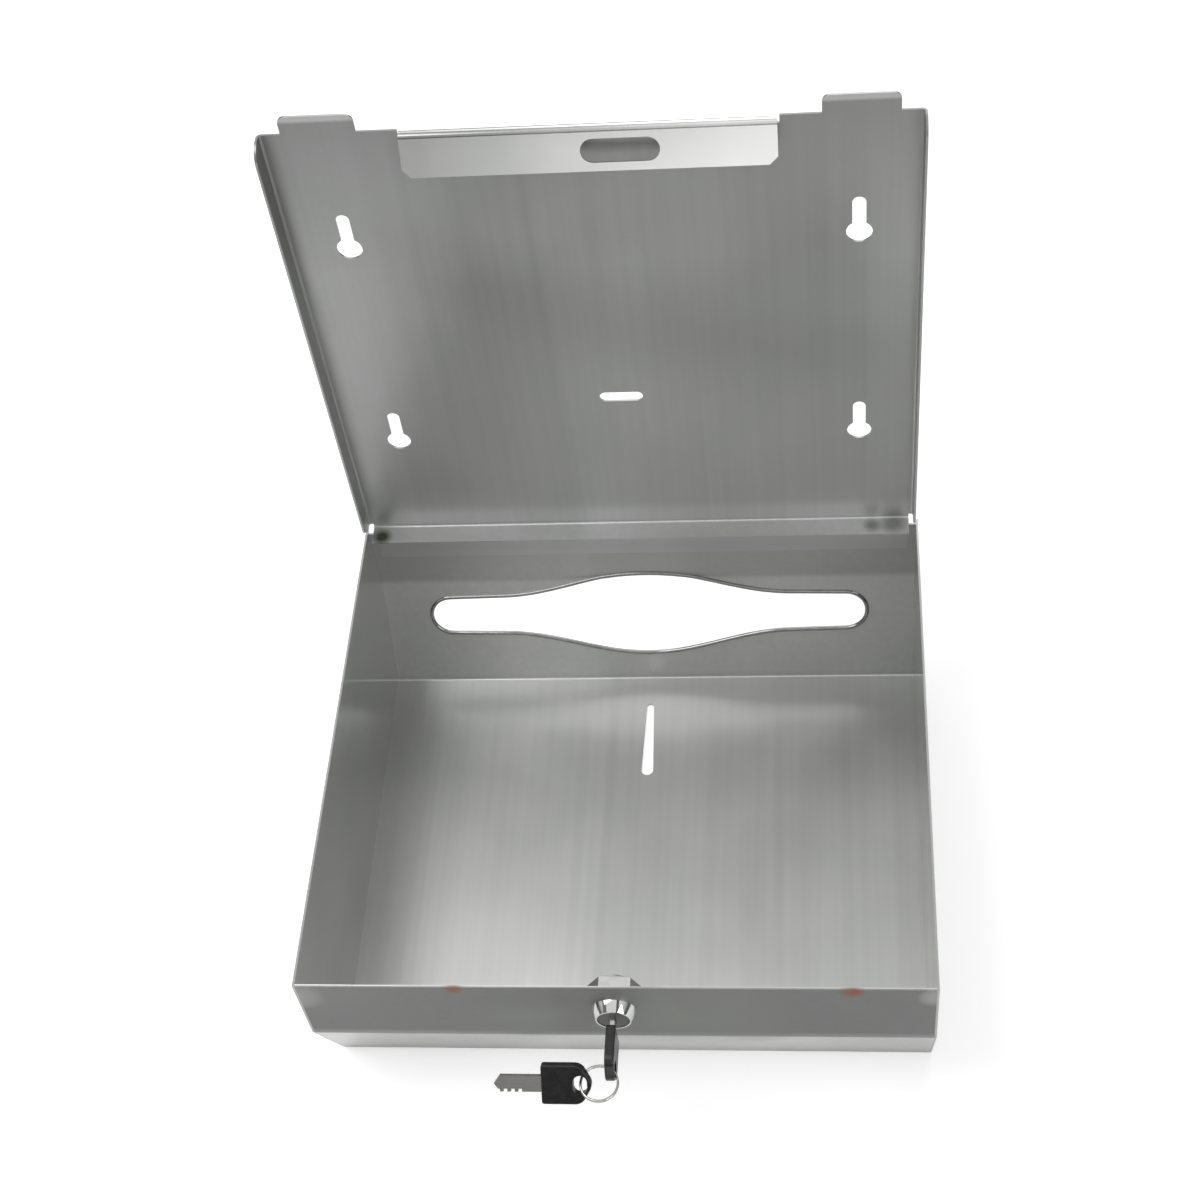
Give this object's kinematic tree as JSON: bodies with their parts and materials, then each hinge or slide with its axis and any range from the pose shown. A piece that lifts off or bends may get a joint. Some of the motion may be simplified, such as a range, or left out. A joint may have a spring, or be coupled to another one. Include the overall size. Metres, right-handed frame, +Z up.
{
  "type": "paper towel dispenser",
  "caption": "Wall-mounted sheet steel dispenser for folded paper towels, with a hinged cover, a slotted towel mouth and a key-operated cam lock.",
  "frame": {"origin": "centre of the four wall screw holes, on the rear face of the back plate", "axes": "+X to the right seen from the front, +Y into the wall, +Z up"},
  "size_m": [0.28, 0.3042, 0.3687],
  "materials": {
    "plate_steel": "satin, soft blotches",
    "strike_steel": "bright satin",
    "hinge_steel": "satin",
    "cover_steel": "satin, glossy inside the side plates",
    "lock_chrome": "polished",
    "lock_face": "dark satin face",
    "wafer_brass": "plain",
    "cam_steel": "zinc plated",
    "key_nickel": "nickel plated",
    "key_plastic": "glossy black"
  },
  "bodies": {
    "wall_plate": {"back_plate": "plate_steel", "strike_flange": "strike_steel", "hinge_leaf_wall": "hinge_steel", "hinge_pin": "hinge_steel"},
    "cover": {"cover_shell": "cover_steel", "cover_side_left": "cover_steel", "cover_side_right": "cover_steel", "hinge_leaf_cover": "hinge_steel", "lock_body": "lock_chrome", "lock_washer": "lock_chrome", "lock_nut": "lock_chrome"},
    "lock_plug": {"lock_plug": "lock_face", "lock_wafers": "wafer_brass", "lock_cam": "cam_steel", "cam_washer": "cam_steel", "cam_screw": "cam_steel"},
    "key": {"key_blade": "key_nickel", "key_head": "key_plastic"},
    "key_ring": {"key_ring": "key_nickel"},
    "spare_key": {"spare_key_blade": "key_nickel", "spare_key_head": "key_plastic"}
  },
  "joints": [
    {"name": "cover_hinge", "type": "hinge", "parent": "wall_plate", "child": "cover", "pos_m": [0, -0.0019, -0.1298], "axis": [-1, 0, 0], "range_deg": [0, 90]},
    {"name": "lock_turn", "type": "hinge", "parent": "cover", "child": "lock_plug", "pos_m": [0, -0.2602, -0.1479], "axis": [0, -1, 0], "range_deg": [0, 90]},
    {"name": "key_pull", "type": "slide", "parent": "lock_plug", "child": "key", "axis": [0, -1, 0], "range_m": [0, 0.022]},
    {"name": "ring_swing", "type": "hinge", "parent": "key", "child": "key_ring", "pos_m": [0, -0.289, -0.1479], "axis": [1, 0, 0], "range_deg": [-60, 90]},
    {"name": "spare_key_swing", "type": "hinge", "parent": "key_ring", "child": "spare_key", "pos_m": [-0.01255, -0.29567, -0.1479], "axis": [0, -1, 0], "range_deg": [-60, 90]}
  ]
}
